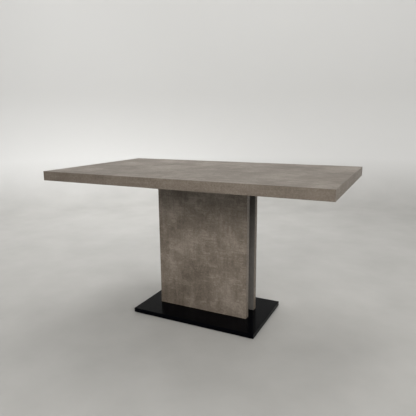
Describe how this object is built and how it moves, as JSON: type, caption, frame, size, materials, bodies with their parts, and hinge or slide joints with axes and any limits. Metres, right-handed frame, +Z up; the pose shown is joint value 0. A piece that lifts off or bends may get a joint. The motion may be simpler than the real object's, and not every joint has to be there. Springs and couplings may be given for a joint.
{
  "type": "extendable dining table",
  "caption": "Rectangular extending dining table: thick-edged concrete-look split top on geared slides, two-panel column and flat black base plate.",
  "frame": {"origin": "on the floor under the middle of the closed top", "axes": "+X along the length of the top, +Y towards the rear, +Z up"},
  "size_m": [1.4, 0.8, 0.76],
  "materials": {
    "board_decor": "concrete-look laminate, matte",
    "edge_decor": "concrete-look edge band, matte",
    "panel_decor": "concrete-look laminate, matte",
    "strip_board": "pale backing laminate",
    "slide_aluminium": "mill finish",
    "gear_nylon": "natural nylon",
    "spacer_plastic": "matte",
    "zinc_steel": "bright zinc",
    "pin_steel": "turned",
    "brass": "turned",
    "beech": "planed",
    "black_steel": "powder coat, fine texture",
    "black_lacquer": "satin black lacquer",
    "felt": "pressed felt",
    "lever_plastic": "moulded, fine texture",
    "foot_plastic": "moulded on a steel stud"
  },
  "bodies": {
    "pedestal": {"base_plate": "black_lacquer", "ballast_plate": "black_steel", "base_bolts": "zinc_steel", "foot_inserts": "brass", "foot_plate": "black_steel", "left_post": "black_steel", "right_post": "black_steel", "front_panel": "panel_decor", "rear_panel": "panel_decor", "panel_edge_bands": "edge_decor", "panel_brackets": "zinc_steel", "panel_screws": "zinc_steel", "head_plate": "black_steel", "bearer_bolts": "zinc_steel", "left_bearer": "beech", "right_bearer": "beech", "left_leaf_ledge": "zinc_steel", "right_leaf_ledge": "zinc_steel", "ledge_screws": "zinc_steel", "leaf_felt_strips": "felt", "front_centre_rail": "slide_aluminium", "rear_centre_rail": "slide_aluminium", "rail_bolts": "zinc_steel", "stop_pins": "zinc_steel", "pinion_axles": "zinc_steel", "lock_pivots": "zinc_steel"},
    "top_right": {"right_top_board": "board_decor", "right_edge_strips": "strip_board", "right_edge_bands": "edge_decor", "right_front_runner": "slide_aluminium", "right_rear_runner": "slide_aluminium", "right_front_rack": "gear_nylon", "right_rear_rack": "gear_nylon", "right_runner_pads": "spacer_plastic", "right_runner_screws": "zinc_steel"},
    "top_left": {"left_top_board": "board_decor", "left_edge_strips": "strip_board", "left_edge_bands": "edge_decor", "left_front_runner": "slide_aluminium", "left_rear_runner": "slide_aluminium", "left_front_rack": "gear_nylon", "left_rear_rack": "gear_nylon", "left_runner_pads": "spacer_plastic", "left_runner_screws": "zinc_steel", "alignment_pins": "pin_steel"},
    "front_gear": {"front_pinion": "gear_nylon"},
    "rear_gear": {"rear_pinion": "gear_nylon"},
    "front_lock": {"front_lock_lever": "lever_plastic"},
    "rear_lock": {"rear_lock_lever": "lever_plastic"},
    "leaf_lower": {"lower_leaf_board": "board_decor", "lower_leaf_bands": "edge_decor", "lower_leaf_pins": "pin_steel"},
    "leaf_upper": {"upper_leaf_board": "board_decor", "upper_leaf_bands": "edge_decor", "upper_leaf_pins": "pin_steel"},
    "foot_front_left": {"front_left_foot": "foot_plastic"},
    "foot_front_right": {"front_right_foot": "foot_plastic"},
    "foot_rear_left": {"rear_left_foot": "foot_plastic"},
    "foot_rear_right": {"rear_right_foot": "foot_plastic"}
  },
  "joints": [
    {"name": "top_right_slide", "type": "slide", "parent": "pedestal", "child": "top_right", "axis": [1, 0, 0], "range_m": [0, 0.2]},
    {"name": "top_left_slide", "type": "slide", "parent": "pedestal", "child": "top_left", "axis": [-1, 0, 0], "range_m": [0, 0.2]},
    {"name": "front_gear_turn", "type": "hinge", "parent": "pedestal", "child": "front_gear", "pos_m": [0, -0.24, 0.7355], "axis": [0, 0, 1], "range_deg": [0, 573]},
    {"name": "rear_gear_turn", "type": "hinge", "parent": "pedestal", "child": "rear_gear", "pos_m": [0, 0.24, 0.7355], "axis": [0, 0, 1], "range_deg": [-573, 0]},
    {"name": "front_lock_turn", "type": "hinge", "parent": "pedestal", "child": "front_lock", "pos_m": [0.233, -0.289, 0.718], "axis": [0, 0, -1], "range_deg": [0, 90]},
    {"name": "rear_lock_turn", "type": "hinge", "parent": "pedestal", "child": "rear_lock", "pos_m": [0.233, 0.289, 0.718], "axis": [0, 0, 1], "range_deg": [0, 90]},
    {"name": "lower_leaf_slide", "type": "slide", "parent": "pedestal", "child": "leaf_lower", "axis": [0, -1, 0], "range_m": [0, 0.62]},
    {"name": "upper_leaf_slide", "type": "slide", "parent": "pedestal", "child": "leaf_upper", "axis": [0, 1, 0], "range_m": [0, 0.62]},
    {"name": "front_left_foot_turn", "type": "hinge", "parent": "pedestal", "child": "foot_front_left", "pos_m": [-0.3, -0.17, 0.004], "axis": [0, 0, 1], "range_deg": [0, 2160]},
    {"name": "front_right_foot_turn", "type": "hinge", "parent": "pedestal", "child": "foot_front_right", "pos_m": [0.3, -0.17, 0.004], "axis": [0, 0, 1], "range_deg": [0, 2160]},
    {"name": "rear_left_foot_turn", "type": "hinge", "parent": "pedestal", "child": "foot_rear_left", "pos_m": [-0.3, 0.17, 0.004], "axis": [0, 0, 1], "range_deg": [0, 2160]},
    {"name": "rear_right_foot_turn", "type": "hinge", "parent": "pedestal", "child": "foot_rear_right", "pos_m": [0.3, 0.17, 0.004], "axis": [0, 0, 1], "range_deg": [0, 2160]}
  ],
  "couplings": [
    {"joint": "top_left_slide", "follows": "top_right_slide", "ratio": 1},
    {"joint": "front_gear_turn", "follows": "top_right_slide", "rad_per_m": 50},
    {"joint": "rear_gear_turn", "follows": "top_right_slide", "rad_per_m": -50}
  ]
}
